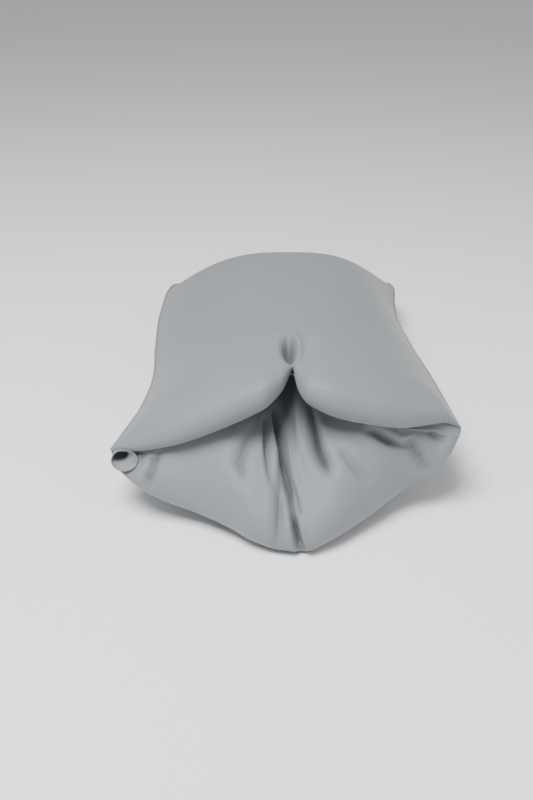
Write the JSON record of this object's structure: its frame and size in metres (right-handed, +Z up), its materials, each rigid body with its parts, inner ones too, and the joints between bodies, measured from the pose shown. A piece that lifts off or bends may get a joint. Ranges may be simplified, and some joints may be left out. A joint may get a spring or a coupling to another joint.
{
  "type": "bed pillow",
  "caption": "Plump rectangular bed pillow in a smooth sateen case, with a pinched mouth end, an inner flap and a sewn fibre insert.",
  "frame": {"origin": "middle of the overall box, on the plane the pillow lies on", "axes": "+Z up, +Y along the length from the mouth of the case to its closed far seam, +X across the width"},
  "size_m": [0.464, 0.7866, 0.1954],
  "materials": {
    "sateen": "satin",
    "hem": "satin",
    "seam": "matte",
    "ticking": "matte",
    "cord": "matte",
    "fibre": "matte"
  },
  "bodies": {
    "root": {"case_top_panel": "sateen", "case_bottom_panel": "sateen", "case_flap": "sateen", "top_hem": "hem", "flap_hem": "hem", "case_side_seam_left": "seam", "case_side_seam_right": "seam", "case_end_seam": "seam", "insert_cover_top": "ticking", "insert_cover_bottom": "ticking", "insert_edge_cord": "cord", "fibre_fill": "fibre"}
  },
  "joints": []
}
